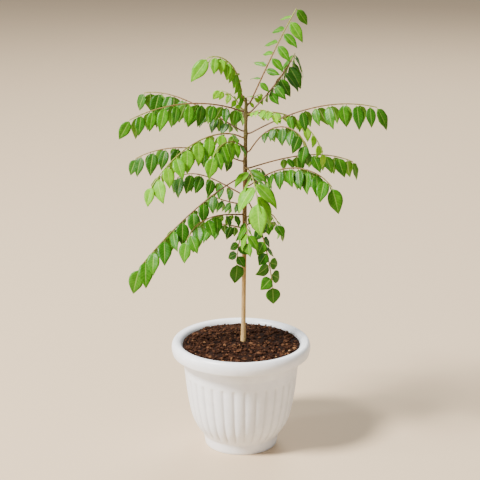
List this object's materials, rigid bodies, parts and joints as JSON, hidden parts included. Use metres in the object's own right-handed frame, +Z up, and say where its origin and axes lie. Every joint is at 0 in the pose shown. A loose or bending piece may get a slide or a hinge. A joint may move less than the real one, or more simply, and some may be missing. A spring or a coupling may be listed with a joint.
{
  "type": "potted curry leaf plant",
  "caption": "Young curry leaf plant with one slender trunk and arching pinnate fronds, growing in potting mix in a fluted white plastic pot with a rolled rim.",
  "frame": {"origin": "centre of the flat underside of the pot, which stands on the floor", "axes": "+Z up along the pot's axis, -Y towards the camera of the picture, +X to its right"},
  "size_m": [0.4789, 0.2851, 0.8171],
  "materials": {
    "pot": "satin",
    "soil": "matte",
    "trunk": "matte",
    "fronds": "satin"
  },
  "bodies": {
    "root": {"pot": "pot", "soil": "soil", "trunk": "trunk", "frond_crown_tall": "fronds", "frond_crown_arch": "fronds", "frond_crown_small": "fronds", "frond_crown_back": "fronds", "frond_crown_left": "fronds", "frond_crown_near": "fronds", "frond_right_long": "fronds", "frond_right_high": "fronds", "frond_right_near": "fronds", "frond_right_low_far": "fronds", "frond_right_low_near": "fronds", "frond_left_long": "fronds", "frond_left_high_far": "fronds", "frond_left_mid_far": "fronds", "frond_left_mid_near": "fronds", "frond_left_low_far": "fronds", "frond_left_low_long": "fronds", "frond_left_base_near": "fronds", "frond_left_base_far": "fronds", "frond_left_base_high": "fronds", "frond_left_inner": "fronds", "frond_base_front": "fronds", "frond_hang_left": "fronds", "frond_hang_right": "fronds", "frond_short_right": "fronds", "frond_front": "fronds", "frond_back_high": "fronds", "frond_back_mid": "fronds", "frond_back_low": "fronds"}
  },
  "joints": []
}
